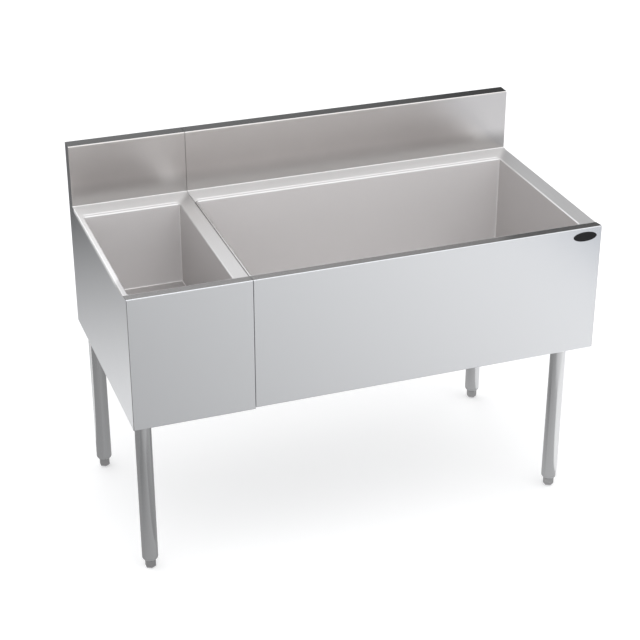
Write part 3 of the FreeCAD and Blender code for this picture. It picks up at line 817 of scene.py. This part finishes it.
def on_tub_side(face):
    return abs(face.normal.x) > FACING


def on_lip_side(face):
    return on_lip_face(face) and on_tub_side(face)


def on_tub_floor(face):
    return face.normal.z > FACING


def on_seam_strip(face):
    return SEAM < face.center.x < STRIP_END.x and face.center.y < STRIP_END.y


print("seam at", round(SEAM, 4), "and apron ends at", [round(end, 4) for end in APRON_ENDS])

# %% Put the finishes on the new pieces
def dress(pieces, material, *others):
    """Puts a finish on each piece, and other finishes on the faces that their tests pick."""
    for piece in pieces:
        piece.data.materials.clear()
        for finish in [material] + [other for other, _ in others]:
            piece.data.materials.append(finish)
        for face in piece.data.polygons:
            fits = [number for number, (_, test) in enumerate(others, 1) if test(face)]
            face.material_index = fits[0] if fits else 0
        print(piece.name, "has", len(piece.data.materials), "finishes")


# The front band and the broken ends of the aprons take painted shade.
dress(aprons, apron_steel, (painted_shade_band, on_top), (painted_shade_apron_edge, on_apron_end))
# Lip sides, the strip at the seam and the splash tops take painted shade, lip faces the tubs' painted
# light.
for rim, splash, rim_steel in zip(rims, splashes, (well_rim_steel, bin_rim_steel)):
    dress([rim], rim_steel, (painted_shade_tub_side, on_lip_side), (tub_steel, on_lip_face),
          (painted_shade_seam_strip, on_seam_strip))
    dress([splash], splash_steel, (painted_shade_splash_top, on_top), (rim_steel, on_splash_foot))
# The tub walls take painted light, their sides and floors painted shade.
dress(tubs, tub_steel, (painted_shade_tub_side, on_tub_side), (painted_shade_tub_floor, on_tub_floor))
dress(tubes + shoulders, leg_steel)
dress(feet, foot_steel)
dress([plate], black_enamel)

# %% Put the finishes on the CAD nodes
NODE_FINISHES = (
    ("_drain_nut", zinc_steel), ("_drain_gasket", gasket_rubber), ("seam_gasket", gasket_rubber),
    ("joining_", zinc_steel), ("socket_set_screws", zinc_steel), ("socket_", mill_steel),
    ("_foam", rigid_foam), ("_drain", fitting_chrome), ("_strainer", fitting_chrome),
    ("_back", mill_steel), ("_pan", mill_steel), ("_side", side_steel), ("_splash_cap", side_steel),
)
dressed = 0
for name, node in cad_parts.items():
    fits = [finish for word, finish in NODE_FINISHES if name.startswith(word) or name.endswith(word)]
    if fits:
        node.material_slots[0].material = fits[0]
        dressed += 1
print("CAD nodes dressed:", dressed)

# %% [markdown]
# ## The studio
# Bare steel shows what stands round it more than its own colour. The floor is pale and lit evenly, and it
# shows white to the camera and to reflections. The sky is white to the camera. To the object it is
# brighter at the rear left, darker at the rear right and a little dimmer in front.

# %% Floor
FLOOR_SIZE = 60.0
FLOOR_DROP = 0.0005
FLOOR_TONE = (0.80, 0.80, 0.80, 1)
FLOOR_LIFT = 0.35
WHITE = (1, 1, 1, 1)
start_fresh()
bpy.ops.mesh.primitive_plane_add(size=FLOOR_SIZE, location=(0, 0, -FLOOR_DROP))
floor = bpy.context.object
floor.name = "studio_floor"
material, finish = new_finish("studio floor")
seen = finish.node("ShaderNodeLightPath", output="Is Camera Ray")
for ray in ("Is Glossy Ray", "Is Transmission Ray"):
    other = finish.node("ShaderNodeLightPath", output=ray)
    seen = finish.node("ShaderNodeMath", {"operation": "MAXIMUM"}, {0: seen, 1: other})
matte = finish.node("ShaderNodeBsdfDiffuse", inputs={"Color": FLOOR_TONE})
glow = finish.node("ShaderNodeEmission", inputs={"Color": WHITE, "Strength": seen * FLOOR_LIFT})
finish.surface(finish.node("ShaderNodeAddShader", inputs={0: matte, 1: glow}))
floor.data.materials.append(material)
print("floor of", FLOOR_SIZE, "m ready")

# %% Surroundings
SKY_TINT = (0.985, 0.99, 1.0, 1)
REAR_LEFT = 1.3
REAR_RIGHT = 0.36
FRONT_SKY = 0.80
world = bpy.data.worlds.new("studio")
bpy.context.scene.world = world
world.use_nodes = True
air = Finish(world.node_tree)
to_eye = air.node("ShaderNodeLightPath", output="Is Camera Ray")
aim = air.node("ShaderNodeTexCoord", output="Generated")
rearward = air.along("Y", aim)
rightward = air.along("X", aim)
rear = air.climb(rearward, start=0.2, end=0.6)
rear_level = air.climb(rightward, start=0.15, end=0.48, first=REAR_LEFT, last=REAR_RIGHT)
front_level = air.climb(rearward, start=-0.9, end=-0.3, first=FRONT_SKY)
level = front_level * (1.0 - rear) + rear_level * rear
sky = air.node("ShaderNodeBackground", inputs={
    "Color": SKY_TINT, "Strength": to_eye + level * (1.0 - to_eye)})
air.node("ShaderNodeOutputWorld", inputs={"Surface": sky})
print("surroundings ready")

# %% [markdown]
# ## Lamp and cards
# A large soft lamp hangs above the front. The cards do what a photographer's flags and reflectors do. They
# are plain sheets that only reflections see. Those in front shade the aprons from left to right. Those
# under the unit and in front of the legs give each leg its dark side and its light stripe. Those at the
# left shade the side panel, and one that stands behind darkens the right end of the front band.

# %% Lamp
LAMP_POWER = 28.0
LAMP_WIDTH = 4.2
LAMP_DEPTH = 2.6
LAMP_PLACE = Vector((0.3, -1.4, 3.3))
LAMP_TARGET = Vector((0, 0, 0.7))
lamp_data = bpy.data.lights.new("overhead_softbox", "AREA")
lamp_data.shape = "RECTANGLE"
lamp_data.size = LAMP_WIDTH
lamp_data.size_y = LAMP_DEPTH
lamp_data.energy = LAMP_POWER
lamp = bpy.data.objects.new("overhead_softbox", lamp_data)
bpy.context.scene.collection.objects.link(lamp)
lamp.location = LAMP_PLACE
lamp.rotation_euler = (LAMP_TARGET - LAMP_PLACE).to_track_quat("-Z", "Y").to_euler()
print("lamp of", LAMP_POWER, "W ready")

# %% Cards
LIFT = 0.004
LEG_LIFT = 0.006
NEUTRAL = (1.0, 1.0, 1.0)
COOL = (0.94, 0.99, 1.08)


def card(name, low, high, tones, along="X", tint=NEUTRAL):
    """A card that only reflections see. Its tone runs from one end to the other along X or Y."""
    start_fresh()
    low, high = Vector(low), Vector(high)
    span = high - low
    stands = span.z > span.y
    tilt = UPRIGHT if stands else (0, 0, 0)
    bpy.ops.mesh.primitive_plane_add(size=1, location=(low + high) / 2, rotation=tilt)
    flag = bpy.context.object
    flag.name = name
    flag.scale = (span.x, span.z if stands else span.y, 1)
    material, finish = new_finish(name)
    share = finish.along(along, finish.place()) + 0.5
    first, last = (shade([tone * part for part in tint]) for tone in tones)
    colour = finish.blend(share, first, last)
    finish.surface(finish.node("ShaderNodeEmission", inputs={"Color": colour, "Strength": 1.0}))
    flag.data.materials.append(material)
    flag.visible_camera = False
    flag.visible_diffuse = False
    flag.visible_shadow = False


card("front_card", (-2.2, -4.0, LIFT), (1.4, -0.25, LIFT), (0.09, 1.14))
card("right_card", (1.4, -4.0, LIFT), (5.0, -0.25, LIFT), (0.62, 0.70), tint=COOL)
card("under_left_card", (-0.6, -0.25, LIFT), (0.0, 0.9, LIFT), (0.46, 0.36))
card("under_right_card", (0.0, -0.25, LIFT), (0.60, 0.9, LIFT), (0.30, 0.62))
card("left_leg_card", (-1.1, -0.80, LEG_LIFT), (-0.45, -0.25, LEG_LIFT), (0.28, 0.52))
card("right_leg_card", (-0.45, -0.80, LEG_LIFT), (0.63, -0.25, LEG_LIFT), (0.36, 0.64))
card("leg_stripe_card", (0.63, -0.80, LEG_LIFT), (1.40, -0.25, LEG_LIFT), (1.22, 1.22))
card("left_near_card", (-3.0, -0.25, LIFT), (-0.6, 0.4, LIFT), (0.16, 0.42))
card("left_card", (-4.0, 0.4, LIFT), (-0.6, 2.0, LIFT), (1.10, 0.12), along="Y")
card("left_far_card", (-4.0, 2.0, LIFT), (0.1, 7.0, LIFT), (0.12, 0.12), along="Y")
card("rear_card", (1.15, 2.0, 1.10), (2.30, 2.0, 1.62), (0.16, 0.05))
print("cards ready")

# %% [markdown]
# ## The camera
# The photograph's camera was worked out from the unit's straight edges, with the photograph's frame taken
# as 640 by 640 pixels. It stands well back, left of the middle and above the rim, with a long lens.

# %% Camera
EYE = Vector((-1.32992, -3.6091, 2.50661))
LOOK = Vector((0.300218, 0.833531, -0.463783))
LENS_MM = 92.902
SENSOR_MM = 36.0
camera_data = bpy.data.cameras.new("photo_camera")
camera_data.sensor_width = SENSOR_MM
camera_data.lens = LENS_MM
camera = bpy.data.objects.new("photo_camera", camera_data)
bpy.context.scene.collection.objects.link(camera)
camera.location = EYE
camera.rotation_euler = LOOK.to_track_quat("-Z", "Y").to_euler()
bpy.context.scene.camera = camera
bpy.context.scene.view_settings.view_transform = "Standard"
print("camera at", [round(v, 3) for v in EYE])
